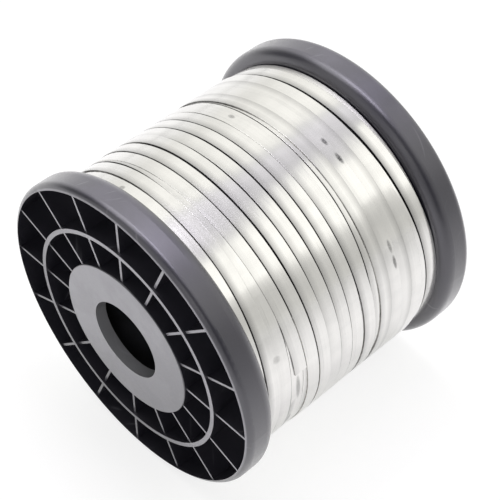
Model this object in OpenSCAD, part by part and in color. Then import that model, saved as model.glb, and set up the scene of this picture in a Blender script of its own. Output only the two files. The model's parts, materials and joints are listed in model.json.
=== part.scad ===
// Moulded spool of flat resistance ribbon.
// The spool lies on its two rims: its axis runs along Y, the front flange faces -Y,
// and the origin is on the floor under the middle of the spool.

/* [Spool] */
// Distance between the outer faces of the two flanges
overall_len = 99; // [90:0.5:120]
// Diameter of the spindle bore through both hub discs
bore_d = 28; // [16:0.5:34]

/* [Flange] */
// Outer diameter of a flange
flange_d = 110; // [108:0.5:130]
// Depth of a flange, from its hub's outer face to the winding
flange_t = 11.6; // [9:0.1:13]
// Thickness of the web that holds the winding in
web_t = 2.4; // [1.5:0.1:4]
// Thickness of the rim wall around the pockets
rim_wall = 1.9; // [1.2:0.1:3]
// How far the rim stands back from the hub's outer face
rim_drop = 0.2; // [0:0.1:2]
// Rounding of the rim's edge on the outer face
face_edge_r = 2.6; // [0.6:0.1:3]
// Rounding of the rim's edge on the winding side
web_edge_r = 4; // [0.4:0.1:5]

/* [Pockets] */
// Number of radial ribs
rib_count = 16; // [8:1:24]
// Thickness of a radial rib
rib_t = 0.9; // [0.8:0.1:2]
// How far the ribs stand back from the hub's outer face
rib_drop = 1; // [0.2:0.1:3]
// Diameter of the middle line of the stiffening ring
ring_d = 78.6; // [66:0.2:96]
// Thickness of the stiffening ring
ring_t = 1.5; // [1:0.1:3]

/* [Hub] */
// Thickness of the disc that closes the hub around the bore
hub_disc_t = 4.1; // [3:0.1:6]
// Wall of the hub around the core tube's seat
hub_wall = 2.2; // [1.5:0.1:4]
// Rounding of the hub disc's outer edge
hub_edge_r = 0.4; // [0.2:0.1:1]

/* [Core tube] */
// Outer diameter of the tube that the ribbon is wound on
core_d = 50; // [44:0.5:56]
// Wall of the tube
core_wall = 3; // [1.5:0.1:4]
// Radial clearance of the tube in a flange's seat
seat_clearance = 0.05; // [0:0.01:0.2]

/* [Winding] */
// Diameter over the outermost layer of ribbon
winding_d = 102.6; // [80:0.1:106]
// Width of the ribbon
ribbon_w = 4.8; // [2:0.1:8]
// Thickness of the ribbon
ribbon_t = 0.4; // [0.2:0.05:0.8]
// Bevel that stands for the ribbon's rolled edges
ribbon_bevel = 0.18; // [0.05:0.01:0.2]
// Gap between neighbouring turns
turn_gap = 0.2; // [0.05:0.01:0.5]
// Gap between the first turn and the front flange
lay_gap = 0.4; // [0.2:0.1:3]

/* [Hidden] */
$fn = 128;
plastic = "#2e2d31";
metal = "#d6d5d0";
flange_r = flange_d / 2;
seat_d = core_d + 2 * seat_clearance;
hub_d = seat_d + 2 * hub_wall;
core_len = overall_len - 2 * hub_disc_t;
traverse = overall_len - 2 * flange_t;
turn_pitch = ribbon_w + turn_gap;
turns = floor((traverse - lay_gap) / turn_pitch);
// A cut runs this far past the face that it opens
overrun = 1;
// A rib runs this far into the walls that it joins
rib_root = 0.2;

// What a rounding takes off the corner of a section, with the corner at the origin
// and the material towards -X and +Y.
module corner_cut(r) {
    difference() {
        translate([-r, -overrun]) square([r + overrun, r + overrun]);
        translate([-r, r]) circle(r);
    }
}

// One half of a flange's section: hub, stiffening ring, rim wall and web.
// X is the radius and Y the depth below the hub's outer face.
module flange_section() {
    difference() {
        union() {
            square([hub_d / 2, flange_t]);
            translate([(ring_d - ring_t) / 2, 0]) square([ring_t, flange_t]);
            translate([flange_r - rim_wall, rim_drop]) square([rim_wall, flange_t - rim_drop]);
            translate([0, flange_t - web_t]) square([flange_r, web_t]);
        }
        translate([flange_r, rim_drop]) corner_cut(face_edge_r);
        translate([flange_r, flange_t]) mirror([0, 1]) corner_cut(web_edge_r);
        translate([hub_d / 2, 0]) corner_cut(hub_edge_r);
    }
}

// The radial ribs, from the hub to the rim wall and down to the web.
module ribs() {
    rib_h = flange_t - web_t - rib_drop;
    rib_start = hub_d / 2 - rib_root;
    rib_end = flange_r - rim_wall + rib_root;
    for (i = [0 : rib_count - 1])
        rotate(i * 360 / rib_count)
            translate([rib_start, -rib_t / 2, rib_drop])
                cube([rib_end - rib_start, rib_t, rib_h + rib_root]);
}

// One flange moulding, with its outer face at z = 0 and its web towards +Z.
module flange() {
    difference() {
        union() {
            rotate_extrude() flange_section();
            ribs();
        }
        translate([0, 0, -overrun]) cylinder(d = bore_d, h = flange_t + 2 * overrun);
        translate([0, 0, hub_disc_t]) cylinder(d = seat_d, h = flange_t);
    }
}

// Half of the winding's section. The outermost layer shows turn by turn,
// and its gaps go down to the layer below it.
module winding_section() {
    r = winding_d / 2;
    below = r - ribbon_t;
    layer = [
        for (i = [0 : turns - 1])
            let (a = i * turn_pitch, b = a + ribbon_w)
                each [
                    [below, a], [r - ribbon_bevel, a], [r, a + ribbon_bevel],
                    [r, b - ribbon_bevel], [r - ribbon_bevel, b], [below, b]
                ]
    ];
    last = turns * turn_pitch - turn_gap;
    polygon(concat([[core_d / 2, 0]], layer, [[core_d / 2, last]]));
}

// Lays the spool down: its own axis goes along Y and its rims onto the floor.
module lay_down() {
    translate([0, -overall_len / 2, flange_r]) rotate([-90, 0, 0]) children();
}

module front_flange() {
    color(plastic) lay_down() flange();
}

module back_flange() {
    color(plastic) lay_down()
        translate([0, 0, overall_len]) rotate([180, 0, 0]) flange();
}

module core_tube() {
    color(plastic) lay_down()
        translate([0, 0, hub_disc_t]) difference() {
            cylinder(d = core_d, h = core_len);
            translate([0, 0, -overrun])
                cylinder(d = core_d - 2 * core_wall, h = core_len + 2 * overrun);
        }
}

module wire_winding() {
    color(metal) lay_down()
        translate([0, 0, flange_t + lay_gap]) rotate_extrude() winding_section();
}

front_flange();
back_flange();
core_tube();
wire_winding();
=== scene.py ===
"""Looks of a moulded spool wound full with flat resistance ribbon.

The spool lies on its two rims with its axis along Y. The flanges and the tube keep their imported
shapes and get their finishes here. The winding is modelled turn by turn as one long strip.
"""

from __future__ import annotations

import json
import logging
import math
from collections.abc import Callable, Iterator
from contextlib import contextmanager
from dataclasses import dataclass, field
from enum import Enum
from functools import cached_property

import bpy
import numpy as np
from mathutils import Matrix, Vector

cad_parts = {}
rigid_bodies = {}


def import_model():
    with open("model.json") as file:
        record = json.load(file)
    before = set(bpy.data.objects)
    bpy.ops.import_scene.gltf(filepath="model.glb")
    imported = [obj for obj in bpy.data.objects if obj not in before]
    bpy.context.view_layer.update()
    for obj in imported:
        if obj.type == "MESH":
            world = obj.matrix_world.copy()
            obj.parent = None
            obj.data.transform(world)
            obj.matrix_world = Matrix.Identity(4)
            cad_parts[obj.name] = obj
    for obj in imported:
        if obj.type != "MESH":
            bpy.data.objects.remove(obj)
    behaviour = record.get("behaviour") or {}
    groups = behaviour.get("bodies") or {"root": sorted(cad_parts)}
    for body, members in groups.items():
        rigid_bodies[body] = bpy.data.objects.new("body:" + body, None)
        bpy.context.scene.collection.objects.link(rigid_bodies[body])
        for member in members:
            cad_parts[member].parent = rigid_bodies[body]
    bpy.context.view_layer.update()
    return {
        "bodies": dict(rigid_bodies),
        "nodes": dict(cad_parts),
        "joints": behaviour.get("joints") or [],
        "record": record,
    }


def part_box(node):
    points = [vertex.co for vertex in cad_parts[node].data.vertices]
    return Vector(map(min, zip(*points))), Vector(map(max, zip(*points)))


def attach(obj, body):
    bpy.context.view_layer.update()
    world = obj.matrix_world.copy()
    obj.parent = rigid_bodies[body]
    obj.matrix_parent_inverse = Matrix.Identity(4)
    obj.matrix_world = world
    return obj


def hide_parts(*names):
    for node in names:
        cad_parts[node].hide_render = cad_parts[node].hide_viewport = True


MM = 0.001
CLOSE = 0.01 * MM
FULL_TURN = 360.0
LOG = logging.getLogger("spool")
Colour = tuple[float, float, float]
Place = tuple[float, float, float]
Span = tuple[float, float]
Ramp = tuple[float, float, float, float]
Socket = bpy.types.NodeSocket
Value = float | Socket
Settings = dict[str | int, object]


class Piece(Enum):
    """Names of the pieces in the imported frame."""

    FRONT_FLANGE = "front_flange"
    BACK_FLANGE = "back_flange"
    CORE_TUBE = "core_tube"
    WINDING = "wire_winding"


class Slot(Enum):
    """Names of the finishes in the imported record."""

    FLANGE = "spool_plastic"
    TUBE = "tube_plastic"
    RIBBON = "ribbon_metal"


class Tint(Enum):
    """Tints of the light tent's panels."""

    WHITE = (1.0, 1.0, 1.0)
    CREAM = (1.0, 0.995, 0.96)
    LAVENDER = (0.99, 0.975, 1.02)


class Domain(Enum):
    """Kinds of sockets that the shared effects use."""

    VALUE = "NodeSocketFloat"
    VECTOR = "NodeSocketVector"


@dataclass(frozen=True)
class SpoolSizes:
    """Main sizes of the spool, in metres, as the frame gives them.

    Attributes:
        flange_r: Outer radius of a flange, which is also the height of the axis.
        half_len: Half of the distance between the hubs' outer faces.
        winding_r: Radius over the outermost layer of ribbon.
        core_r: Outer radius of the tube under the winding.
    """

    flange_r: float
    half_len: float
    winding_r: float
    core_r: float

    @classmethod
    def from_frame(cls) -> SpoolSizes:
        """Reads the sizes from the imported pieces.

        Returns:
            The sizes of this spool.
        """
        front_low, front_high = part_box(Piece.FRONT_FLANGE.value)
        winding_low, winding_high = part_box(Piece.WINDING.value)
        tube_low, tube_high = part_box(Piece.CORE_TUBE.value)
        return cls(
            flange_r=(front_high[0] - front_low[0]) / 2,
            half_len=-front_low[1],
            winding_r=(winding_high[0] - winding_low[0]) / 2,
            core_r=(tube_high[0] - tube_low[0]) / 2,
        )


def deselect_all() -> None:
    """Deselects every object."""
    bpy.ops.object.select_all(action="DESELECT")


@contextmanager
def edit_mode() -> Iterator[None]:
    """Works on the active mesh in edit mode and then leaves it."""
    bpy.ops.object.mode_set(mode="EDIT")
    yield
    bpy.ops.object.mode_set(mode="OBJECT")


def turn_faces_out() -> None:
    """Points all faces of the mesh in edit mode outwards."""
    bpy.ops.mesh.select_all(action="SELECT")
    bpy.ops.mesh.normals_make_consistent(inside=False)


def added(name: str) -> bpy.types.Object:
    """Names the object that was just added, and its data.

    Args:
        name: The name for both.

    Returns:
        The object.
    """
    new = bpy.context.object
    new.name = name
    new.data.name = name
    return new


def smooth_path(knots_x: np.ndarray, knots_y: np.ndarray, x: np.ndarray) -> np.ndarray:
    """Runs a smooth curve through knots, with slopes that follow the neighbouring knots.

    Args:
        knots_x: Rising positions of the knots.
        knots_y: Values at the knots.
        x: Positions to find the curve at.

    Returns:
        The curve's values at x.
    """
    slope = np.gradient(knots_y, knots_x)
    i = np.clip(np.searchsorted(knots_x, x) - 1, 0, len(knots_x) - 2)
    span = knots_x[i + 1] - knots_x[i]
    t = (x - knots_x[i]) / span
    start, end = knots_y[i], knots_y[i + 1]
    leave, arrive = slope[i] * span, slope[i + 1] * span
    bend = 3 * (end - start) - 2 * leave - arrive
    twist = 2 * (start - end) + leave + arrive
    return start + t * (leave + t * (bend + t * twist))


def smooth_step(low: float, high: float, x: np.ndarray) -> np.ndarray:
    """Rises softly from 0 at low to 1 at high."""
    t = np.clip((x - low) / (high - low), 0.0, 1.0)
    return t * t * (3 - 2 * t)


def emptied(owner: bpy.types.Material | bpy.types.World) -> bpy.types.NodeTree:
    """Empties the nodes of a material or world.

    Args:
        owner: The material or world.

    Returns:
        Its node tree.
    """
    owner.use_nodes = True
    owner.node_tree.nodes.clear()
    return owner.node_tree


class NodeBench:
    """Places and links nodes in one node tree."""

    def __init__(self, tree: bpy.types.NodeTree) -> None:
        """Takes the tree to work in."""
        self.tree = tree

    def feed(self, node: bpy.types.Node, values: Settings) -> None:
        """Sets or links a node's inputs.

        Args:
            node: The node.
            values: Settings or linked outputs, by input name or number.
        """
        for name, value in values.items():
            if isinstance(value, Socket):
                self.tree.links.new(value, node.inputs[name])
            else:
                node.inputs[name].default_value = value

    def put(self, kind: str, values: Settings | None = None, **props: object) -> bpy.types.Node:
        """Adds one node.

        Args:
            kind: The node's type name.
            values: Settings or linked outputs, by input name or number.
            **props: The node's own settings.

        Returns:
            The new node.
        """
        node = self.tree.nodes.new(kind)
        for name, value in props.items():
            setattr(node, name, value)
        self.feed(node, values or {})
        return node

    def effect(self, group: bpy.types.NodeTree, vector: Socket, **values: float) -> bpy.types.NodeOutputs:
        """Places a shared effect at linked coordinates, with values for its other inputs by name."""
        named = {name.replace("_", " ").title(): value for name, value in values.items()}
        return self.put("ShaderNodeGroup", {"Vector": vector, **named}, node_tree=group).outputs

    def split(self, vector: Socket) -> bpy.types.NodeOutputs:
        """Takes a vector apart into its X, Y and Z outputs."""
        return self.put("ShaderNodeSeparateXYZ", {0: vector}).outputs

    def math(self, operation: str, *values: Value, clamp: bool = False) -> Socket:
        """Adds a sum of one, two or three values, kept between 0 and 1 if it is clamped."""
        terms = dict(enumerate(values))
        return self.put("ShaderNodeMath", terms, operation=operation, use_clamp=clamp).outputs[0]

    def times(self, a: Value, b: Value) -> Socket:
        """Multiplies two values."""
        return self.math("MULTIPLY", a, b)

    def spread(self, value: Value, low: float, high: float,
               to_low: float = 0.0, to_high: float = 1.0) -> Socket:
        """Maps a value softly from the span low to high onto the span to_low to to_high."""
        values = {"Value": value, "From Min": low, "From Max": high, "To Min": to_low, "To Max": to_high}
        return self.put("ShaderNodeMapRange", values, interpolation_type="SMOOTHSTEP").outputs["Result"]

    def blend(self, factor: Value, a: Colour | Socket, b: Colour | Socket) -> Socket:
        """Mixes two colours.

        Args:
            factor: Number or linked output, 0 for a and 1 for b.
            a: First colour or linked output.
            b: Second colour or linked output.

        Returns:
            The mixed colour's socket.
        """
        first, second = ((*c, 1.0) if isinstance(c, tuple) else c for c in (a, b))
        node = self.put("ShaderNodeMix", {0: factor, 6: first, 7: second}, data_type="RGBA")
        return node.outputs[2]

    def noise(self, vector: Socket, scale: Value, detail: float, roughness: float) -> Socket:
        """Adds cloudy noise of some fineness, number of finer layers and strength of these."""
        values = {"Vector": vector, "Scale": scale, "Detail": detail, "Roughness": roughness}
        return self.put("ShaderNodeTexNoise", values).outputs["Fac"]


class SharedEffects:
    """Surface effects that more than one finish uses, each built once as a node group."""

    def __init__(self) -> None:
        """Builds the groups."""
        self.mottle = self._mottle()
        self.scratches = self._scratches()

    @staticmethod
    def _group(name: str, values: dict[str, float],
               outputs: list[str]) -> tuple[NodeBench, bpy.types.NodeOutputs, bpy.types.Node]:
        """Starts a node group with a Vector input and named values.

        Args:
            name: The group's name.
            values: Starting values of its value inputs, by name.
            outputs: Names of its value outputs.

        Returns:
            The group's bench, the sockets of its inputs and its output node.
        """
        tree = bpy.data.node_groups.new(name, "ShaderNodeTree")
        tree.interface.new_socket("Vector", in_out="INPUT", socket_type=Domain.VECTOR.value)
        for label, value in values.items():
            socket = tree.interface.new_socket(label, in_out="INPUT", socket_type=Domain.VALUE.value)
            socket.default_value = value
        for label in outputs:
            tree.interface.new_socket(label, in_out="OUTPUT", socket_type=Domain.VALUE.value)
        bench = NodeBench(tree)
        return bench, bench.put("NodeGroupInput").outputs, bench.put("NodeGroupOutput")

    def _mottle(self) -> bpy.types.NodeTree:
        """Builds soft patches with fine grain in them.

        Returns:
            The group: a Patch mask and a Grain value.
        """
        scales = {"Patch Scale": 60.0, "Grain Scale": 900.0}
        bench, given, end = self._group("mottle", scales, ["Patch", "Grain"])
        patch = bench.noise(given["Vector"], given["Patch Scale"], 4.0, 0.6)
        grain = bench.noise(given["Vector"], given["Grain Scale"], 2.0, 0.5)
        bench.feed(end, {"Patch": bench.spread(patch, 0.35, 0.68), "Grain": grain})
        return bench.tree

    def _scratches(self) -> bpy.types.NodeTree:
        """Builds thin marks that run along the second coordinate.

        Returns:
            The group: a Mark mask and a soft Streak value.
        """
        scales = {"Across": 4000.0, "Along": 60.0, "Sparse": 0.62}
        bench, given, end = self._group("scratches", scales, ["Mark", "Streak"])
        stretch = bench.put("ShaderNodeCombineXYZ", {"X": given["Across"], "Y": given["Along"]}).outputs[0]
        scaled = bench.put("ShaderNodeVectorMath", {0: given["Vector"], 1: stretch}, operation="MULTIPLY")
        streak = bench.noise(scaled.outputs[0], 1.0, 2.0, 0.6)
        over = bench.math("SUBTRACT", streak, given["Sparse"])
        bench.feed(end, {"Mark": bench.spread(over, 0.0, 0.08), "Streak": streak})
        return bench.tree


class SpoolBench(NodeBench):
    """A bench for a finish, which knows where a point lies on the spool, in metres.

    Each of its own nodes is placed at its first use.
    """

    def __init__(self, tree: bpy.types.NodeTree, effects: SharedEffects, sizes: SpoolSizes) -> None:
        """Takes what the finish works with.

        Args:
            tree: The material's node tree.
            effects: The shared surface effects.
            sizes: The spool's sizes.
        """
        super().__init__(tree)
        self.effects = effects
        self.sizes = sizes

    @cached_property
    def vector(self) -> Socket:
        """The place in the object's own coordinates."""
        return self.put("ShaderNodeTexCoord").outputs["Object"]

    @cached_property
    def part(self) -> bpy.types.NodeOutputs:
        """The X, Y and Z of the place."""
        return self.split(self.vector)

    @cached_property
    def facing(self) -> bpy.types.NodeOutputs:
        """The X, Y and Z of the direction in which the face looks."""
        return self.split(self.put("ShaderNodeNewGeometry").outputs["Normal"])

    @cached_property
    def end_on(self) -> Socket:
        """How squarely the face looks along the axis."""
        return self.math("ABSOLUTE", self.facing["Y"])

    @cached_property
    def height(self) -> Socket:
        """The height above the axis."""
        return self.math("SUBTRACT", self.part["Z"], self.sizes.flange_r)

    @cached_property
    def radius(self) -> Socket:
        """The distance from the axis."""
        across = self.times(self.part["X"], self.part["X"])
        return self.math("SQRT", self.math("MULTIPLY_ADD", self.height, self.height, across))

    @cached_property
    def angle(self) -> Socket:
        """The angle from the top towards +X, in radians."""
        return self.math("ARCTAN2", self.part["X"], self.height)

    @cached_property
    def behind_front(self) -> Socket:
        """The distance behind the front hub's face."""
        return self.math("ADD", self.part["Y"], self.sizes.half_len)

    @cached_property
    def depth(self) -> Socket:
        """The distance behind the nearer hub's face."""
        return self.math("SUBTRACT", self.sizes.half_len, self.math("ABSOLUTE", self.part["Y"]))


@dataclass(frozen=True)
class Finish:
    """What every finish has.

    Attributes:
        name: The material's name.
        colour: Main colour.
        roughness: Main roughness.
    """

    name: str
    colour: Colour
    roughness: float

    def inputs(self, bench: SpoolBench) -> Settings:
        """Lays out what goes into the shader, by its input."""
        raise NotImplementedError

    def build(self, effects: SharedEffects, sizes: SpoolSizes) -> bpy.types.Material:
        """Makes the material.

        Args:
            effects: The shared surface effects.
            sizes: The spool's sizes.

        Returns:
            The material.
        """
        material = bpy.data.materials.new(self.name)
        bench = SpoolBench(emptied(material), effects, sizes)
        shader = bench.put("ShaderNodeBsdfPrincipled", self.inputs(bench))
        bench.put("ShaderNodeOutputMaterial", {"Surface": shader.outputs[0]})
        material.diffuse_color = (*self.colour, 1.0)
        return material


@dataclass(frozen=True)
class MouldedPlastic(Finish):
    """Black moulded plastic, its outer faces painted grey: partly rubbed where things touch, partly painted
    light.

    Attributes:
        rubbed_and_lit: Colour of the outer faces, partly rubbed wear and partly painted light against the
            black pockets.
        dust_and_sheen: Colour of the dust film on the faces that look up, which also stands as a painted
            sheen.
        deep: Colour down in the pockets.
        bore_painted_light: Colour of the bore's wall, a pale grey that is painted light.
        gloss_tint: Tint of the plastic's gloss.
        bore_r: Radius of the bore.
        hub_r: Radius of the hub's disc.
        rim_wall: Thickness of the wall around the pockets.
        web_depth: How far the pockets' floor lies behind the hub's face.
        exposed_depth: How far behind the hub's face a face still gets the rubbed and lit grey.
        end_on: How squarely such a face looks along the axis, from none of that grey to all of it.
        painted_falloff: Span, up and to the right, over which the ribs get lighter, a painted falloff of
            light, and how much at its ends.
        hub_painted_falloff: The same painted falloff for the hub's disc, along a line that leans by hub_lean.
        hub_lean: How far that line leans to the right.
        dust_and_sheen_upward: How far up a face looks, from none of that film to all of it.
        scuffing: Strength of the scratches' colour.
        bump: Strength of the moulded grain.
    """

    rubbed_and_lit: Colour = (0.295, 0.29, 0.318)
    dust_and_sheen: Colour = (0.08, 0.076, 0.101)
    deep: Colour = (0.015, 0.0145, 0.0195)
    bore_painted_light: Colour = (0.19, 0.19, 0.2)
    gloss_tint: Colour = (0.95, 0.93, 1.0)
    bore_r: float = 14.0 * MM
    hub_r: float = 27.25 * MM
    rim_wall: float = 1.9 * MM
    web_depth: float = 9.2 * MM
    exposed_depth: float = 1.1 * MM
    end_on: Span = (0.82, 0.95)
    painted_falloff: Ramp = (-64.0 * MM, 26.0 * MM, 0.05, 1.0)
    hub_painted_falloff: Ramp = (-26.0 * MM, 14.0 * MM, 0.58, 0.94)
    hub_lean: float = -0.5
    dust_and_sheen_upward: Span = (0.76, 1.0)
    scuffing: float = 0.2
    bump: float = 0.12

    def _rubbed_and_lit_faces(self, bench: SpoolBench, patch: Socket) -> Socket:
        """Finds how far each face is painted grey, as rubbed wear and as painted light that falls off
        downwards and towards -X.

        Args:
            bench: The bench of the material.
            patch: A mask of soft patches.

        Returns:
            A mask of the faces painted grey, as rubbed wear and painted light.
        """
        shallow = bench.spread(bench.depth, self.exposed_depth, self.exposed_depth + 0.6 * MM, 1.0, 0.0)
        squarely = bench.spread(bench.end_on, *self.end_on)
        hub_disc = bench.spread(bench.radius, self.hub_r, self.hub_r + 0.5 * MM, 1.0, 0.0)
        # Painted light: ribs and ring get lighter upwards and towards +X.
        off_hub = bench.spread(bench.math("ADD", bench.part["X"], bench.height), *self.painted_falloff)
        off_hub = bench.times(off_hub, bench.math("SUBTRACT", 1.0, hub_disc))
        # Painted light: the hub's disc also gets lighter along a leaning line.
        leaning = bench.math("MULTIPLY_ADD", bench.part["X"], self.hub_lean, bench.height)
        on_hub = bench.times(hub_disc, bench.spread(leaning, *self.hub_painted_falloff))
        wear_and_falloff = bench.times(bench.spread(patch, 0.0, 1.0, 0.8, 1.0), bench.math("MAXIMUM", off_hub, on_hub))
        return bench.times(bench.times(shallow, squarely), wear_and_falloff)

    def inputs(self, bench: SpoolBench) -> Settings:
        """Lays out what goes into the shader.

        Args:
            bench: The bench of the material.

        Returns:
            Settings or linked outputs, by the shader's input.
        """
        mottle = bench.effect(bench.effects.mottle, bench.vector, patch_scale=70.0, grain_scale=1400.0)
        turned = bench.put("ShaderNodeMapping", {"Vector": bench.vector, "Rotation": (0.4, 0.9, 0.7)})
        marks = bench.effect(bench.effects.scratches, turned.outputs[0],
                             across=700.0, along=60.0, sparse=0.64)
        lip_r = bench.sizes.flange_r - self.rim_wall
        past_lip = bench.spread(bench.radius, lip_r + 0.05 * MM, lip_r + 0.3 * MM)
        past_web = bench.spread(bench.depth, self.web_depth + 0.1 * MM, self.web_depth + 0.5 * MM)
        bored = bench.spread(bench.radius, self.bore_r + 0.1 * MM, self.bore_r + 0.3 * MM, 1.0, 0.0)
        # The bore's wall is painted pale grey: painted light on it.
        inside = bench.blend(bored, self.deep, self.bore_painted_light)
        film = bench.spread(mottle["Patch"], 0.0, 1.0, 0.7, 1.0)
        # Faces that look up get a pale lavender film: dust, and a painted sheen on the rim's top.
        dust_and_sheen_upward = bench.times(bench.spread(bench.facing["Z"], *self.dust_and_sheen_upward), film)
        outside = bench.blend(dust_and_sheen_upward, self.colour, self.dust_and_sheen)
        walls = bench.blend(bench.math("MAXIMUM", past_lip, past_web), inside, outside)
        scuffed = bench.blend(bench.times(marks["Mark"], self.scuffing), walls, self.rubbed_and_lit)
        rubbed_and_lit = self._rubbed_and_lit_faces(bench, mottle["Patch"])
        rough = bench.math("MULTIPLY_ADD", mottle["Grain"], 0.16, self.roughness - 0.08)
        relief = bench.put("ShaderNodeBump", {
            "Height": mottle["Grain"], "Strength": self.bump, "Distance": 0.12 * MM})
        return {
            "Base Color": bench.blend(rubbed_and_lit, scuffed, self.rubbed_and_lit),
            "Roughness": bench.math("MULTIPLY_ADD", rubbed_and_lit, 0.14, rough),
            "Normal": relief.outputs[0],
            "IOR": 1.5,
            "Specular IOR Level": 1.0,
            "Specular Tint": (*self.gloss_tint, 1.0),
            "Coat Weight": 1.0,
            "Coat Roughness": 0.25,
            "Coat IOR": 1.3,
        }


@dataclass(frozen=True)
class TubePlastic(Finish):
    """Dull black plastic of the tube inside the spool."""

    def inputs(self, bench: SpoolBench) -> Settings:
        """Lays out what goes into the shader.

        Args:
            bench: The bench of the material.

        Returns:
            Settings or linked outputs, by the shader's input.
        """
        mottle = bench.effect(bench.effects.mottle, bench.vector, patch_scale=90.0)
        paler = tuple(c * 1.6 for c in self.colour)
        return {
            "Base Color": bench.blend(mottle["Patch"], self.colour, paler),
            "Roughness": bench.math("MULTIPLY_ADD", mottle["Grain"], 0.2, self.roughness - 0.1),
        }


@dataclass(frozen=True)
class DarkMark:
    """One dark mark on the winding, mostly a scuff; a few of them are painted shadow.

    Attributes:
        place: Its middle, in millimetres behind the front hub's face.
        angle: Its middle, in degrees from the top towards +X.
        wide: Half of its width along the axis, in millimetres.
        long: Half of its length around the axis, in degrees.
        depth: How dark it is, from 0 to 1.
    """

    place: float
    angle: float
    wide: float
    long: float
    depth: float


@dataclass(frozen=True)
class RolledRibbon(Finish):
    """Bright rolled ribbon with fine lines along it, dark slit edges of dirt and painted shade, a few scuffs
    and painted shadows.

    Attributes:
        dull: Colour of the duller stretches.
        grime_and_shade: Colour of the dirt on the edges and between the turns, which also stands as painted
            shade in the slits, under the outer turns and over the edges' glints.
        lay_attribute: Name of the strip's attribute: metres across, metres along, turns.
        grime_and_shade_attribute: Name of the strip's attribute that says how dark a place is, with dirt and
            painted shade.
        scuffs_and_shadows: Dark marks on the winding: scuffs, the cut end's painted shadow and painted shade
            along a slit.
        bump: Strength of the rolled lines and of the soft dents.
    """

    dull: Colour = (0.66, 0.655, 0.64)
    grime_and_shade: Colour = (0.03, 0.03, 0.032)
    lay_attribute: str = "lay"
    grime_and_shade_attribute: str = "grime_and_shade"
    scuffs_and_shadows: tuple[DarkMark, ...] = (
        DarkMark(13.4, -14.0, 1.1, 1.4, 0.5), DarkMark(56.6, -12.5, 0.9, 1.7, 0.5),
        DarkMark(69.9, 17.6, 0.8, 2.0, 0.85), DarkMark(69.9, 25.2, 0.85, 2.7, 0.9),
        DarkMark(69.5, 60.5, 0.7, 3.0, 0.55), DarkMark(69.6, 67.0, 0.75, 3.2, 0.65),
        # The mark at 24.7 mm and 88 degrees is the cut end's painted shadow.
        DarkMark(18.4, 69.5, 1.6, 1.8, 0.3), DarkMark(24.7, 88.0, 1.0, 7.0, 0.5),
        DarkMark(22.6, 106.0, 1.2, 4.0, 0.55),
        # These two thin marks are painted shade along a slit.
        DarkMark(23.15, 63.0, 0.3, 7.0, 0.75), DarkMark(23.4, 74.0, 0.3, 7.0, 0.75),
    )
    bump: float = 0.18

    def _dark_marks(self, bench: SpoolBench) -> Socket:
        """Finds where the scuffs and painted shadows are.

        Args:
            bench: The bench of the material.

        Returns:
            A mask of the scuffs.
        """
        total = 0.0
        for dark_mark in self.scuffs_and_shadows:
            off = bench.math("SUBTRACT", bench.behind_front, dark_mark.place * MM)
            across = bench.math("DIVIDE", off, dark_mark.wide * MM)
            off = bench.math("SUBTRACT", bench.angle, math.radians(dark_mark.angle))
            along = bench.math("DIVIDE", off, math.radians(dark_mark.long))
            far = bench.math("MULTIPLY_ADD", along, along, bench.times(across, across))
            total = bench.math("MAXIMUM", bench.spread(far, 0.1, 1.1, dark_mark.depth, 0.0), total)
        return total

    def inputs(self, bench: SpoolBench) -> Settings:
        """Lays out what goes into the shader.

        Args:
            bench: The bench of the material.

        Returns:
            Settings or linked outputs, by the shader's input.
        """
        lay = bench.put("ShaderNodeAttribute", attribute_name=self.lay_attribute).outputs["Vector"]
        settled_and_shade = bench.put("ShaderNodeAttribute", attribute_name=self.grime_and_shade_attribute).outputs["Fac"]
        lines = bench.effect(bench.effects.scratches, lay, across=2600.0, along=22.0, sparse=0.66)
        dents = bench.effect(bench.effects.scratches, lay, across=420.0, along=120.0)
        mottle = bench.effect(bench.effects.mottle, lay, patch_scale=38.0, grain_scale=1100.0)
        tone = bench.math("MULTIPLY_ADD", lines["Streak"], 0.5, bench.times(mottle["Patch"], 0.35))
        worn = bench.math("MULTIPLY_ADD", lines["Mark"], 0.5, tone, clamp=True)
        bright = bench.blend(worn, self.colour, self.dull)
        smear = bench.spread(mottle["Grain"], 0.36, 0.56, 0.72, 1.0)
        # The marks: scuffs, and painted shadows of the cut end and along a slit.
        scuffed = bench.times(self._dark_marks(bench), smear)
        # Dirt and painted shade from the strip, with the scuffs and painted shadows.
        dirt_and_shade = bench.math("MAXIMUM", settled_and_shade, scuffed)
        rough = bench.math("MULTIPLY_ADD", lines["Streak"], 0.12, self.roughness - 0.06)
        height = bench.math("MULTIPLY_ADD", lines["Streak"], 0.12, dents["Streak"])
        relief = bench.put("ShaderNodeBump", {"Height": height, "Strength": self.bump, "Distance": 0.1 * MM})
        return {
            "Base Color": bench.blend(dirt_and_shade, bright, self.grime_and_shade),
            "Roughness": bench.math("MULTIPLY_ADD", dirt_and_shade, 0.25, rough),
            "Normal": relief.outputs[0],
            "Metallic": 1.0,
        }


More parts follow.
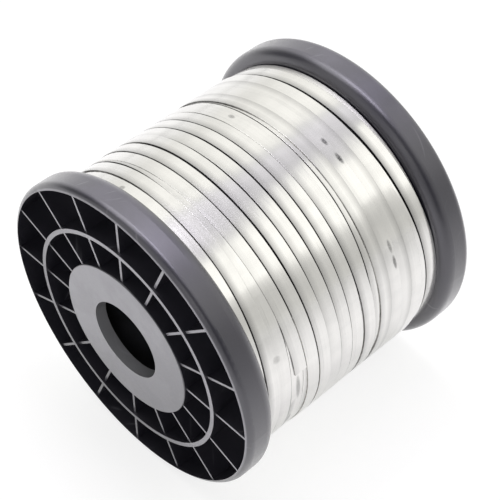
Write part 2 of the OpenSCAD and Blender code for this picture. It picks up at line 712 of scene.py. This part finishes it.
@dataclass(frozen=True)
class RibbonEdges(Finish):
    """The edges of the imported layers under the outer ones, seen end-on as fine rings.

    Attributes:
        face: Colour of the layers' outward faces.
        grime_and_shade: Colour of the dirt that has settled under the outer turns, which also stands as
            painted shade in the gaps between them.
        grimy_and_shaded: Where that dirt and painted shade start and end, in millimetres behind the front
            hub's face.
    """

    face: Colour = (0.85, 0.84, 0.82)
    grime_and_shade: Colour = (0.02, 0.02, 0.022)
    grimy_and_shaded: Span = (17.5, 83.0)

    def inputs(self, bench: SpoolBench) -> Settings:
        """Lays out what goes into the shader.

        Args:
            bench: The bench of the material.

        Returns:
            Settings or linked outputs, by the shader's input.
        """
        rings = bench.put("ShaderNodeCombineXYZ", {"X": bench.radius, "Y": bench.part["Y"]}).outputs[0]
        lines = bench.effect(bench.effects.scratches, rings, across=2400.0, along=900.0)
        darker = tuple(c * 0.55 for c in self.colour)
        ringed = bench.blend(lines["Streak"], self.colour, darker)
        end_on = bench.spread(bench.end_on, 0.25, 0.6)
        starts, ends = (edge * MM for edge in self.grimy_and_shaded)
        # Under the outer turns the layers are darkened: dirt and painted shade in the gaps.
        dirty_and_shaded = bench.times(bench.spread(bench.behind_front, starts, starts + MM),
                            bench.spread(bench.behind_front, ends, ends + MM, 1.0, 0.0))
        return {
            "Base Color": bench.blend(dirty_and_shaded, bench.blend(end_on, self.face, ringed), self.grime_and_shade),
            "Metallic": 1.0,
            "Roughness": self.roughness,
        }


# Darkness at the five places of an edge that has no dirt or painted shade
NO_EDGE_DARKNESS = (0.0, 0.0, 0.0, 0.0, 0.0)
# How far an edge runs on behind the top, as a share of its step from the shoulder to the top
RUN_ON = 0.85


@dataclass(frozen=True)
class Turn:
    """Where the near edge of one turn lies, in millimetres behind the front hub's face.

    Attributes:
        top: Over the top of the spool.
        shoulder: Where the spool starts to slope towards the viewer.
        flank: On the slope.
        side: Low on the viewer's side.
        foot: Just above the floor on that side.
        lean: How far the turn's far edge stands above its near edge.
        grime_and_shade: How dark its near edge is at those five places, from 0 to 1, as dirt and painted
            shade.
        height: How far the turn stands above its layer.
        buried: Whether the layer above hides it.
        far_painted_shade: How dark its far edge is, from 0 to 1, as painted shade.
    """

    top: float
    shoulder: float
    flank: float
    side: float
    foot: float
    lean: float = 0.0
    grime_and_shade: tuple[float, ...] = NO_EDGE_DARKNESS
    height: float = 0.0
    buried: bool = False
    far_painted_shade: float = 0.0

    def places(self) -> np.ndarray:
        """Lists the five named places of the near edge, in winding order."""
        return np.array([self.top, self.shoulder, self.flank, self.side, self.foot])

    def edges(self) -> np.ndarray:
        """Lists the places of the near edge, with one more that runs straight on behind the top."""
        behind = self.top + RUN_ON * (self.top - self.shoulder)
        return np.concatenate([[behind], self.places()])

    def edge_darkness(self) -> np.ndarray:
        """Lists how dark the near edge is at the places that edges gives."""
        return np.array([self.grime_and_shade[0], *self.grime_and_shade])

    def run_to(self, other: Turn, count: int) -> list[Turn]:
        """Lists turns at even steps up to another one, with those between the two buried."""
        step = (other.places() - self.places()) / count
        return [*(Turn(*(self.places() + step * i), buried=True) for i in range(1, count)), other]


@dataclass(frozen=True)
class Wave:
    """One regular wave along the strip.

    Attributes:
        rise: Its height, in millimetres.
        pace: How many of it there are in a turn.
        shift: Where it starts, in radians.
    """

    rise: float
    pace: float
    shift: float

    def at(self, angle: np.ndarray) -> np.ndarray:
        """Finds its height at angles in degrees."""
        return self.rise * np.sin(self.pace * np.radians(angle) + self.shift)


@dataclass
class RibbonWinding:
    """The outermost turns of ribbon, as one strip wound to the far flange and back.

    Lengths are in millimetres and angles in degrees.

    Attributes:
        sizes: The spool's sizes.
        ribbon_w: Width of the ribbon.
        ribbon_t: Thickness of the ribbon.
        lay_gap: Air between two layers.
        upper_edge: Places across and depths of its upper edge, as shares of half its thickness.
        lower_edge: Rounding of its lower edge, as such a share.
        steps_per_turn: Number of faces around one turn.
        stations: Angles of a turn's places, from behind the top towards +X.
        lead_in: Angle by which the strip starts before the first of them.
        climb: Angles between which the strip climbs onto the next layer.
        free_end: Angle at which the strip's cut end lies.
        end_reach: Angle over which that end lifts.
        end_lift: How far it lifts.
        seat: How far the wavy strip is pressed into its layer.
        sway: Waves that make the turns lean to and fro.
        waves: Waves that make the strip uneven.
        bare_from: Angle past which the layer under the cut end has no dirt or painted shade.
        fade_side: Angles between which the dirt and painted shade thin out towards the floor.
        side_loss: Share of that darkness that is gone there.
        fade_back: The same angles on the other side of the top.
        back_loss: Share of that darkness that is gone on that side.
        near_dirt_and_shade: Places across between which the near edge's dirt and painted shade end.
        far_dirt_and_shade: Distances from the far edge between which its dirt and painted shade start.
        start: The first turn, two layers down.
        lower: Turns of the lower layer that show, from near to far.
        lower_runs: Number of turns from each shown one to the next.
        outer: Turns of the outer layer, from far to near.
        section: The ribbon's section, as places across and depths below its face.
    """

    sizes: SpoolSizes
    ribbon_w: float = 4.8
    ribbon_t: float = 0.4
    lay_gap: float = 0.02
    upper_edge: tuple[Span, ...] = ((0.0, 1.0), (0.08, 0.4), (0.22, 0.1), (0.45, 0.0), (0.62, 0.0))
    lower_edge: float = 0.3
    steps_per_turn: int = 96
    stations: tuple[float, ...] = (-60.0, -30.0, 5.0, 40.0, 75.0, 105.0)
    lead_in: float = 20.0
    climb: Span = (112.0, 140.0)
    free_end: float = 81.0
    end_reach: float = 9.0
    end_lift: float = 0.14
    seat: float = 0.05
    sway: tuple[Wave, ...] = (Wave(0.02, 0.37, 0.6), Wave(0.018, 0.83, 2.1))
    waves: tuple[Wave, ...] = (Wave(0.008, 2.7, 0.3), Wave(0.024, 11.3, 1.7), Wave(0.01, 23.7, 0.4))
    bare_from: float = 56.0
    fade_side: Span = (45.0, 92.0)
    side_loss: float = 0.6
    fade_back: Span = (5.0, 45.0)
    back_loss: float = 0.35
    near_dirt_and_shade: Span = (0.06, 0.2)
    far_dirt_and_shade: Span = (0.3, 0.1)
    start: Turn = Turn(12.0, 12.0, 12.0, 12.0, 12.0)
    lower: tuple[Turn, ...] = (
        Turn(16.7, 15.9, 14.95, 13.0, 12.0, grime_and_shade=(0.6, 0.8, 0.95, 0.85, 0.4)),
        Turn(22.0, 20.65, 19.6, 17.6, 16.6, grime_and_shade=(0.5, 0.35, 0.1, 0.1, 0.2)),
        Turn(26.9, 25.5, 24.45, 22.5, 21.5, buried=True),
        Turn(31.8, 30.5, 29.4, 27.4, 26.4, buried=True),
        Turn(55.2, 55.25, 54.8, 53.3, 52.8, grime_and_shade=(0.3, 0.3, 0.3, 0.2, 0.1)),
        Turn(60.25, 60.3, 59.85, 58.35, 57.85, grime_and_shade=(0.45, 0.0, 0.45, 0.5, 0.3)),
        Turn(73.75, 74.5, 75.85, 77.3, 77.3, grime_and_shade=(0.3, 0.3, 0.3, 0.2, 0.1)),
        Turn(79.5, 80.2, 81.35, 82.5, 82.5, grime_and_shade=(0.55, 0.9, 1.0, 0.7, 0.5)),
    )
    lower_runs: tuple[int, ...] = (1, 1, 1, 5, 1, 3, 1)
    outer: tuple[Turn, ...] = (
        Turn(73.65, 74.35, 74.85, 74.9, 74.5, 0.24, (0.05, 0.1, 0.3, 0.3, 0.1)),
        Turn(69.35, 70.15, 70.5, 70.4, 69.8, 0.3, (0.05, 0.1, 0.1, 0.1, 0.1), far_painted_shade=0.3),
        Turn(65.0, 65.9, 66.15, 65.85, 65.3, 0.28, (0.05, 0.2, 0.25, 0.25, 0.1)),
        Turn(60.75, 61.65, 61.6, 61.15, 60.4, 0.1, (0.75, 0.15, 0.4, 0.45, 0.4), far_painted_shade=0.3),
        Turn(53.2, 53.36, 53.4, 53.45, 53.9, grime_and_shade=(0.05, 0.1, 0.9, 0.6, 0.4)),
        Turn(48.15, 48.5, 48.42, 48.1, 48.0, grime_and_shade=(0.6, 0.75, 0.9, 0.15, 0.0)),
        Turn(43.15, 43.45, 43.35, 43.15, 43.1, grime_and_shade=(0.5, 0.8, 1.0, 0.3, 0.05)),
        Turn(38.05, 38.15, 38.25, 38.3, 38.3, grime_and_shade=(0.3, 0.5, 0.6, 0.25, 0.0)),
        Turn(33.5, 32.95, 33.2, 33.65, 34.0, grime_and_shade=(0.6, 1.0, 0.85, 0.35, 0.05)),
        Turn(27.95, 27.6, 27.9, 28.5, 28.75, grime_and_shade=(0.65, 0.85, 0.7, 0.1, 0.0)),
        Turn(22.9, 22.7, 22.9, 23.5, 24.0, 0.02, (0.05, 0.35, 0.15, 0.45, 0.45), -0.26),
    )
    section: list[Span] = field(init=False)

    def __post_init__(self) -> None:
        """Lays out the ribbon's rounded section."""
        w, t = self.ribbon_w, self.ribbon_t
        half = t / 2
        cut = self.lower_edge * half
        near = [(a * half, d * half) for a, d in self.upper_edge]
        far = [(w - a, d) for a, d in reversed(near)]
        under = [(w - cut, t - cut), (w - half, t), (w / 2, t), (half, t), (cut, t - cut)]
        self.section = under[2:] + near + [(w / 2, 0.0)] + far + under[:3]
        self.section.reverse()

    def turns(self) -> list[Turn]:
        """Lists the turns in the order in which they are wound.

        Returns:
            The first turn, the lower layer to the far flange, and the outer layer back.
        """
        listed = [self.start, self.lower[0]]
        for near, far, count in zip(self.lower, self.lower[1:], self.lower_runs):
            listed += near.run_to(far, count)
        return [*listed, *self.outer]

    def build(self) -> bpy.types.Object:
        """Models the strip: a flat grid, rolled up turn by turn, with its section closed.

        Returns:
            The strip.
        """
        turns = self.turns()
        start = self.stations[0] - self.lead_in
        stop = FULL_TURN * (len(turns) - 1) + self.free_end
        rows = int((stop - start) / FULL_TURN * self.steps_per_turn)
        columns = len(self.section) - 1
        deselect_all()
        bpy.ops.mesh.primitive_grid_add(x_subdivisions=columns, y_subdivisions=rows, size=1.0)
        strip = added("wound_ribbon")
        self._roll_up(strip.data, turns, start, stop)
        with edit_mode():
            bpy.ops.mesh.select_all(action="SELECT")
            bpy.ops.mesh.remove_doubles(threshold=0.002 * MM)
            bpy.ops.mesh.select_all(action="DESELECT")
            bpy.ops.mesh.select_mode(type="EDGE")
            bpy.ops.mesh.select_non_manifold()
            bpy.ops.mesh.edge_face_add()
            turn_faces_out()
        bpy.ops.object.shade_smooth_by_angle(angle=math.radians(50.0))
        return strip

    def _knots(self, count: int) -> np.ndarray:
        """Lists the angles of the places of a number of turns, in degrees."""
        return np.concatenate([FULL_TURN * i + np.array(self.stations) for i in range(count)])

    def _middles(self, count: int) -> np.ndarray:
        """Lists the angles of the middles of a number of turns, in degrees."""
        return FULL_TURN * np.arange(count) + sum(self.stations) / len(self.stations)

    def _roll_up(self, mesh: bpy.types.Mesh, turns: list[Turn], start: float, stop: float) -> None:
        """Moves the grid's points onto the wound strip and notes where each lies on the ribbon.

        Args:
            mesh: The flat grid, one metre square around the origin.
            turns: The turns in winding order.
            start: Angle at which the strip starts, in degrees.
            stop: Angle at which it ends, in degrees.
        """
        flat = np.empty(len(mesh.vertices) * 3)
        mesh.vertices.foreach_get("co", flat)
        flat = flat.reshape(-1, 3)
        section = np.array(self.section)
        column = np.rint((flat[:, 0] + 0.5) * (len(section) - 1)).astype(int)
        across, sunk = section[column, 0], section[column, 1]
        angle = start + (flat[:, 1] + 0.5) * (stop - start)

        middles = self._middles(len(turns))
        edge = smooth_path(self._knots(len(turns)), np.concatenate([t.edges() for t in turns]), angle)
        place = edge + across
        lean = np.interp(angle, middles, [t.lean for t in turns]) + sum(w.at(angle) for w in self.sway)
        lift = self._layer(angle, len(turns)) + sum(w.at(angle) for w in self.waves) - self.seat
        lift += self.end_lift * smooth_step(stop - self.end_reach, stop, angle)
        lift += np.interp(angle, middles, [t.height for t in turns])
        lift += lean * (across / self.ribbon_w - 0.5)
        radius = self.sizes.winding_r / MM + lift - sunk
        turn = np.radians(angle)
        points = np.column_stack([
            radius * np.sin(turn),
            place - self.sizes.half_len / MM,
            radius * np.cos(turn) + self.sizes.flange_r / MM,
        ]) * MM
        mesh.vertices.foreach_set("co", points.ravel())

        girth = np.concatenate([[0.0], np.cumsum(np.linalg.norm(np.diff(section, axis=0), axis=1))])
        lay = np.column_stack([girth[column] * MM, turn * self.sizes.winding_r, angle / FULL_TURN])
        noted = mesh.attributes.new(RolledRibbon.lay_attribute, "FLOAT_VECTOR", "POINT")
        noted.data.foreach_set("vector", lay.ravel())
        dirt_and_shade = mesh.attributes.new(RolledRibbon.grime_and_shade_attribute, "FLOAT", "POINT")
        dirt_and_shade.data.foreach_set("value", self._dirt_and_shade(turns, angle, place, across, sunk))
        mesh.update()

    def _dirt_and_shade(self, turns: list[Turn], angle: np.ndarray, place: np.ndarray, across: np.ndarray,
              sunk: np.ndarray) -> np.ndarray:
        """Finds how dark the strip is, with dirt and painted shade.

        Args:
            turns: The turns in winding order.
            angle: Angles along the strip, in degrees.
            place: Places behind the front hub's face, in millimetres.
            across: Places across the ribbon, in millimetres.
            sunk: Depths below the ribbon's face, in millimetres.

        Returns:
            The darkness, from 0 to 1.
        """
        first = self._middles(1)[0]
        nearest = np.clip(np.rint((angle - first) / FULL_TURN).astype(int), 0, len(turns) - 1)
        local = angle - FULL_TURN * nearest
        edge_dark = np.interp(angle, self._knots(len(turns)), np.concatenate([t.edge_darkness() for t in turns]))
        near_on = np.where(sunk > self.ribbon_t / 4, 1.0, 1.0 - smooth_step(*self.near_dirt_and_shade, across))
        # The far edges of some turns get painted shade.
        far_on = smooth_step(*(self.ribbon_w - d for d in self.far_dirt_and_shade), across)
        far_on *= np.array([t.far_painted_shade for t in turns])[nearest]
        last = self.outer[-1]
        bare = (local > self.bare_from) & (place > last.top - 1.0) & (place < last.foot + self.ribbon_w)
        # Buried turns show only in the gaps and are darkened there: painted shade between the turns, with
        # dirt.
        hidden = np.where(bare, 0.0, np.array([float(t.buried) for t in turns])[nearest])
        hidden *= 1.0 - self.side_loss * smooth_step(*self.fade_side, local)
        hidden *= 1.0 - self.back_loss * smooth_step(*self.fade_back, -local)
        return np.maximum(np.maximum(hidden, edge_dark * near_on), far_on)

    def _layer(self, angle: np.ndarray, count: int) -> np.ndarray:
        """Finds how far below the outermost layer the strip lies.

        Args:
            angle: Angles along the strip, in degrees.
            count: Number of turns in all.

        Returns:
            Heights, in millimetres; 0 is the outermost layer.
        """
        step = self.ribbon_t + self.lay_gap
        climbs = (0, count - len(self.outer) - 1)
        layers = sum(smooth_step(*(FULL_TURN * i + np.array(self.climb)), angle) for i in climbs)
        return (layers - len(climbs)) * step


@dataclass
class PackedLayers:
    """The layers of ribbon under the outer ones, one turned form with rings on its ends.

    Lengths are in millimetres, and places along the axis count from the front hub's face.

    Attributes:
        sizes: The spool's sizes.
        outer_drop: How far it lies below the outermost layer.
        step_drop: How far it lies below that layer under the first turn.
        near: Near end.
        step: Where the first turn ends.
        far: Far end.
        core_gap: Air between it and the tube.
        rings: Number of rings on each end.
        ring_relief: How far the rings stand in and out: mean, change and its pace.
        sides: Number of faces around it.
    """

    sizes: SpoolSizes
    outer_drop: float = 0.92
    step_drop: float = 1.36
    near: float = 12.0
    step: float = 17.0
    far: float = 86.95
    core_gap: float = 0.1
    rings: int = 30
    ring_relief: tuple[float, float, float] = (0.16, 0.1, 2.3)
    sides: int = 144

    def build(self) -> bpy.types.Object:
        """Models the form: an open cylinder, stepped at its near end, whose ends are ringed inwards.

        Returns:
            The turned form.
        """
        outer = self.sizes.winding_r - self.outer_drop * MM
        stepped = self.sizes.winding_r - self.step_drop * MM
        near_y, step_y, far_y = (s * MM - self.sizes.half_len for s in (self.near, self.step, self.far))
        deselect_all()
        bpy.ops.mesh.primitive_cylinder_add(
            vertices=self.sides, radius=outer, depth=far_y - step_y, end_fill_type="NOTHING",
            location=(0.0, (step_y + far_y) / 2, self.sizes.flange_r), rotation=(math.pi / 2, 0.0, 0.0))
        form = added("packed_layers")
        bpy.ops.object.transform_apply(location=True, rotation=True, scale=True)
        self._select_rim(form, lambda v: abs(v.co.y - step_y) < CLOSE)
        with edit_mode():
            self._extrude(stepped / outer, 0.0)
            self._extrude(1.0, near_y - step_y)
        self._ring_end(form, near_y, -1, stepped)
        self._ring_end(form, far_y, 1, outer)
        self._select_rim(form, lambda v: self._radius(v) < self._inner_r() + CLOSE)
        with edit_mode():
            bpy.ops.mesh.bridge_edge_loops()
            turn_faces_out()
        bpy.ops.object.shade_smooth_by_angle(angle=math.radians(25.0))
        return form

    def _inner_r(self) -> float:
        """Finds its radius at the tube, in metres."""
        return self.sizes.core_r + self.core_gap * MM

    def _extrude(self, factor: float, shift: float) -> None:
        """Extrudes the selected rim, scales the new rim about the axis and moves it along the axis.

        Args:
            factor: What the new rim's radius is multiplied by.
            shift: How far the new rim moves along Y, in metres.
        """
        bpy.ops.mesh.extrude_edges_move()
        bpy.ops.transform.resize(value=(factor, 1.0, factor), center_override=(0.0, 0.0, self.sizes.flange_r))
        bpy.ops.transform.translate(value=(0.0, shift, 0.0))

    def _radius(self, vertex: bpy.types.MeshVertex) -> float:
        """Measures a point's distance from the spool's axis."""
        return math.hypot(vertex.co.x, vertex.co.z - self.sizes.flange_r)

    @staticmethod
    def _select_rim(form: bpy.types.Object, chosen: Callable[[bpy.types.MeshVertex], bool]) -> None:
        """Selects the edges between points that a test picks.

        Args:
            form: The object, in object mode.
            chosen: Test of one point.
        """
        mesh = form.data
        for face in mesh.polygons:
            face.select = False
        for vertex in mesh.vertices:
            vertex.select = chosen(vertex)
        for edge in mesh.edges:
            edge.select = all(mesh.vertices[i].select for i in edge.vertices)
        bpy.context.tool_settings.mesh_select_mode = (False, True, False)

    def _ring_end(self, form: bpy.types.Object, face_y: float, end: int, outer: float) -> None:
        """Closes one end towards the tube with rings that stand in and out a little.

        Args:
            form: The turned form, in object mode.
            face_y: Where the end is along the axis.
            end: -1 for the near end and 1 for the far one.
            outer: Radius of the end.
        """
        self._select_rim(form, lambda v: abs(v.co.y - face_y) < CLOSE)
        mean, change, pace = self.ring_relief
        step = (outer - self._inner_r()) / self.rings
        radius = outer
        with edit_mode():
            for ring in range(self.rings):
                relief = (mean + change * math.sin(pace * ring)) * MM
                self._extrude((radius - step) / radius, -end * relief if ring % 2 == 0 else end * relief)
                radius -= step


@dataclass(frozen=True)
class Softbox:
    """One square lamp of the studio.

    Attributes:
        name: The lamp's name.
        place: Where it hangs, in metres.
        aim: What it points at, in metres.
        size: Its two sides, in metres.
        glow: Brightness of its face; 1 is white.
        colour: Its colour.
        mirrored: Whether glossy faces show it.
    """

    name: str
    place: Place
    aim: Place
    size: Span
    glow: float
    colour: Colour = (1.0, 1.0, 1.0)
    mirrored: bool = True

    def hang(self) -> None:
        """Adds the lamp to the scene."""
        deselect_all()
        turn = (Vector(self.place) - Vector(self.aim)).to_track_quat("Z", "Y").to_euler()
        bpy.ops.object.light_add(type="AREA", location=self.place, rotation=turn)
        lamp = added(self.name)
        lamp.data.shape = "RECTANGLE"
        lamp.data.size, lamp.data.size_y = self.size
        lamp.data.energy = math.pi * self.size[0] * self.size[1] * self.glow
        lamp.data.color = self.colour
        lamp.visible_glossy = self.mirrored


@dataclass(frozen=True)
class PhotoCamera:
    """The camera at the photograph's viewpoint.

    Attributes:
        right: Direction that runs to the right in the picture.
        down: Direction that runs down in the picture.
        ahead: Direction in which the camera looks.
        back: How far it stands back from the spool's middle, in metres.
        aside: How far it stands to the right of it, in metres.
        above: How far it stands above it, in metres.
        lens: Focal length, in millimetres.
        sensor: Width of the picture at that length, in millimetres.
        nearest: Distance from which it sees, in metres.
    """

    right: Place = (0.6955, 0.71855, 0.0)
    down: Place = (0.5348, -0.51763, -0.6679)
    ahead: Place = (-0.4799, 0.46449, -0.7443)
    back: float = 470.63 * MM
    aside: float = 3.049 * MM
    above: float = 2.22 * MM
    lens: float = 104.23
    sensor: float = 36.0
    nearest: float = 0.01

    def set_up(self, middle: Vector) -> None:
        """Adds the camera to the scene and takes it for the picture.

        Args:
            middle: The spool's middle, in metres.
        """
        right, down, ahead = (Vector(way) for way in (self.right, self.down, self.ahead))
        place = middle - ahead * self.back + right * self.aside - down * self.above
        deselect_all()
        bpy.ops.object.camera_add()
        camera = added("photo_camera")
        turn = Matrix((right, -down, -ahead)).transposed()
        camera.matrix_world = Matrix.Translation(place) @ turn.to_4x4()
        camera.data.sensor_fit = "HORIZONTAL"
        camera.data.sensor_width = self.sensor
        camera.data.lens = self.lens
        camera.data.clip_start = self.nearest
        bpy.context.scene.camera = camera


@dataclass
class Studio:
    """The pale floor, the light tent, the lamps and the camera.

    Attributes:
        sizes: The spool's sizes.
        camera: The camera.
        floor_side: Side of the floor, in metres.
        floor_grey: Grey of the floor where it lights the object.
        shown_floor: Its grey and its glow where it is seen itself.
        mirrored_floor: Its grey where the object mirrors it.
        mirrored_glow: Places along X between which its mirrored glow fades, and the glow at both.
        opening: Brightness of the tent's open front, behind the camera.
        open_span: Shares along the axis between which the front opens.
        front_glow: Brightness of the pale panel in that front, which the metal mirrors.
        front_span: Shares along the axis between which that panel ends.
        panel_middle: Angle of the middle of the tent's brightest panel, in degrees.
        panel_seen: Shares along the axis between which that panel widens.
        panel_spread: How much it widens, as a share of its width.
        panel_start: Angles between which the widening starts, in degrees.
        panel_end: Angles between which it ends, in degrees.
        lamps: The lamps.
        tent: Brightness and tint of the tent, by angle from straight up towards +X, in degrees.
    """

    sizes: SpoolSizes
    camera: PhotoCamera = PhotoCamera()
    floor_side: float = 12.0
    floor_grey: float = 0.8
    shown_floor: Span = (0.32, 0.73)
    mirrored_floor: float = 0.74
    mirrored_glow: Ramp = (-0.6, -0.05, 0.48, 0.32)
    opening: float = 0.15
    open_span: Span = (-0.32, 0.28)
    front_glow: float = 0.85
    front_span: Span = (-0.62, -0.47)
    panel_middle: float = 42.0
    panel_seen: Span = (0.42, 0.54)
    panel_spread: float = 0.5
    panel_start: Span = (-15.0, 8.0)
    panel_end: Span = (80.0, 105.0)
    lamps: tuple[Softbox, ...] = (
        Softbox("overhead_softbox", (-0.6, -0.1, 1.1), (0.0, 0.0, 0.055), (0.9, 0.7), 2.2),
        Softbox("rim_softbox", (-0.02, 0.065, 0.55), (-0.02, 0.065, 0.0), (0.28, 0.15), 4.5,
                colour=(0.92, 0.88, 1.0)),
        Softbox("front_softbox", (0.2, -0.32, 0.3), (0.01, -0.05, 0.06), (0.2, 0.2), 4.5,
                mirrored=False),
    )
    tent: tuple[tuple[float, float, Tint], ...] = (
        (-180.0, 0.95, Tint.WHITE), (-110.0, 1.24, Tint.WHITE), (-93.0, 1.12, Tint.WHITE),
        (-73.0, 0.99, Tint.CREAM), (-53.0, 1.14, Tint.CREAM), (-33.0, 1.18, Tint.CREAM),
        (-21.0, 1.14, Tint.CREAM), (-17.0, 0.9, Tint.WHITE), (-12.0, 0.97, Tint.LAVENDER),
        (-2.0, 0.87, Tint.LAVENDER), (7.0, 0.81, Tint.LAVENDER), (14.0, 0.74, Tint.LAVENDER),
        (20.0, 0.86, Tint.WHITE), (24.0, 1.3, Tint.CREAM), (51.0, 1.36, Tint.CREAM),
        (54.0, 0.85, Tint.CREAM), (62.0, 0.7, Tint.CREAM), (72.0, 0.7, Tint.CREAM),
        (82.0, 0.8, Tint.CREAM), (90.0, 0.84, Tint.WHITE), (180.0, 0.82, Tint.WHITE),
    )

    def build(self) -> None:
        """Sets up the floor, the light and the camera."""
        self._floor()
        self._tent()
        for lamp in self.lamps:
            lamp.hang()
        self.camera.set_up(Vector((0.0, 0.0, self.sizes.flange_r)))
        bpy.context.scene.view_settings.view_transform = "Standard"

    @staticmethod
    def _seen(bench: NodeBench) -> Socket:
        """Finds the rays that show the background itself: those of the camera and glass."""
        path = bench.put("ShaderNodeLightPath").outputs
        return bench.math("MAXIMUM", path["Is Camera Ray"], path["Is Transmission Ray"])

    @staticmethod
    def _mirrored(bench: NodeBench) -> Socket:
        """Finds the rays that glossy faces send out."""
        return bench.put("ShaderNodeLightPath").outputs["Is Glossy Ray"]

    @staticmethod
    def _matte(bench: NodeBench, grey: float) -> Socket:
        """Adds a matte grey shader."""
        return bench.put("ShaderNodeBsdfDiffuse", {"Color": (grey, grey, grey, 1.0)}).outputs[0]

    def _glowing(self, bench: NodeBench, grey: float, glow: Value) -> Socket:
        """Adds a matte grey shader that also glows white.

        Args:
            bench: The bench of the floor's material.
            grey: Level of the grey.
            glow: Strength of the glow.

        Returns:
            The shader's socket.
        """
        light = bench.put("ShaderNodeEmission", {"Color": (1.0, 1.0, 1.0, 1.0), "Strength": glow})
        both = {0: self._matte(bench, grey), 1: light.outputs[0]}
        return bench.put("ShaderNodeAddShader", both).outputs[0]

    def _floor(self) -> None:
        """Lays the floor, which is white where it is seen and still takes the shadow."""
        deselect_all()
        bpy.ops.mesh.primitive_plane_add(size=self.floor_side)
        floor = added("studio_floor")
        with edit_mode():
            bpy.ops.mesh.subdivide(number_cuts=4)
        material = bpy.data.materials.new("studio_floor")
        bench = NodeBench(emptied(material))
        place = bench.split(bench.put("ShaderNodeTexCoord").outputs["Object"])
        glow = bench.spread(place["X"], *self.mirrored_glow)
        lighting = bench.put("ShaderNodeMixShader", {
            0: self._mirrored(bench),
            1: self._matte(bench, self.floor_grey),
            2: self._glowing(bench, self.mirrored_floor, glow),
        })
        mixed = bench.put("ShaderNodeMixShader", {
            0: self._seen(bench),
            1: lighting.outputs[0],
            2: self._glowing(bench, *self.shown_floor),
        })
        bench.put("ShaderNodeOutputMaterial", {"Surface": mixed.outputs[0]})
        floor.data.materials.append(material)

    def _tent(self) -> None:
        """Sets the world to a light tent whose brightness changes around the spool's axis."""
        world = bpy.data.worlds.new("light_tent")
        bpy.context.scene.world = world
        bench = NodeBench(emptied(world))
        way = bench.split(bench.put("ShaderNodeTexCoord").outputs["Generated"])
        angle = self._widened(bench, bench.math("ARCTAN2", way["X"], way["Z"]), way["Y"])
        ramp = bench.put("ShaderNodeValToRGB", {"Fac": bench.math("MULTIPLY_ADD", angle, 0.5 / math.pi, 0.5)})
        stops = ramp.color_ramp.elements
        while len(stops) < len(self.tent):
            stops.new(0.5)
        for stop, (degrees, level, tint) in zip(stops, self.tent):
            stop.position = degrees / FULL_TURN + 0.5
            stop.color = (*(level * share for share in tint.value), 1.0)
        open_front = bench.spread(way["Y"], *self.open_span, self.opening, 1.0)
        front_panel = bench.spread(way["Y"], *self.front_span, self.front_glow, 0.0)
        dim = bench.math("MAXIMUM", open_front, bench.times(self._mirrored(bench), front_panel))
        panels = bench.put("ShaderNodeVectorMath", {0: ramp.outputs["Color"], "Scale": dim},
                           operation="SCALE")
        colour = bench.blend(self._seen(bench), panels.outputs[0], Tint.WHITE.value)
        sky = bench.put("ShaderNodeBackground", {"Color": colour, "Strength": 1.0})
        bench.put("ShaderNodeOutputWorld", {"Surface": sky.outputs[0]})

    def _widened(self, bench: NodeBench, angle: Socket, along: Socket) -> Socket:
        """Spreads the tent's bright panel where it is seen in the far turns.

        Args:
            bench: The bench of the world.
            angle: Angle around the spool's axis, in radians.
            along: Share of the direction that runs along the axis.

        Returns:
            The angle at which the tent is read.
        """
        starts = bench.spread(angle, *map(math.radians, self.panel_start))
        ends = bench.spread(angle, *map(math.radians, self.panel_end), 1.0, 0.0)
        wider = bench.spread(along, *self.panel_seen, 0.0, self.panel_spread)
        off = bench.math("SUBTRACT", math.radians(self.panel_middle), angle)
        return bench.math("MULTIPLY_ADD", off, bench.times(wider, bench.times(starts, ends)), angle)


class Spool:
    """The whole object: flanges and tube from the frame, and the winding modelled here."""

    def __init__(self, frame: dict, sizes: SpoolSizes) -> None:
        """Takes the frame and the sizes, and makes the finishes.

        Args:
            frame: The loaded frame.
            sizes: The spool's sizes.
        """
        self.nodes = frame["nodes"]
        self.sizes = sizes
        effects = SharedEffects()
        finishes = (
            MouldedPlastic(Slot.FLANGE.value, (0.012, 0.0115, 0.018), 0.34),
            TubePlastic(Slot.TUBE.value, (0.012, 0.012, 0.014), 0.5),
            RolledRibbon(Slot.RIBBON.value, (0.83, 0.82, 0.8), 0.14),
            RibbonEdges("ribbon_edges", (0.6, 0.59, 0.57), 0.38),
        )
        built = (finish.build(effects, sizes) for finish in finishes)
        self.flange_finish, self.tube_finish, self.ribbon_finish, self.edge_finish = built

    def dress_mouldings(self) -> None:
        """Gives the flanges and the tube their plastic."""
        for piece, finish in (
            (Piece.FRONT_FLANGE, self.flange_finish),
            (Piece.BACK_FLANGE, self.flange_finish),
            (Piece.CORE_TUBE, self.tube_finish),
        ):
            node = self.nodes[piece.value]
            node.data.materials.clear()
            node.data.materials.append(finish)
            LOG.info("dressed %s", node.name)

    def wind(self) -> None:
        """Models the winding and puts it in the place of its plain solid."""
        strip = RibbonWinding(self.sizes).build()
        strip.data.materials.append(self.ribbon_finish)
        layers = PackedLayers(self.sizes).build()
        layers.data.materials.append(self.edge_finish)
        for piece in (strip, layers):
            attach(piece, "root")
            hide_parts(Piece.WINDING.value)
            LOG.info("made %s with %d faces", piece.name, len(piece.data.polygons))


def main() -> None:
    """Builds the spool and its studio from the sizes of the imported solids."""
    logging.basicConfig(level=logging.INFO, format="%(name)s: %(message)s")
    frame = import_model()
    sizes = SpoolSizes.from_frame()
    Studio(sizes).build()
    spool = Spool(frame, sizes)
    spool.dress_mouldings()
    spool.wind()


if __name__ == "__main__":
    main()
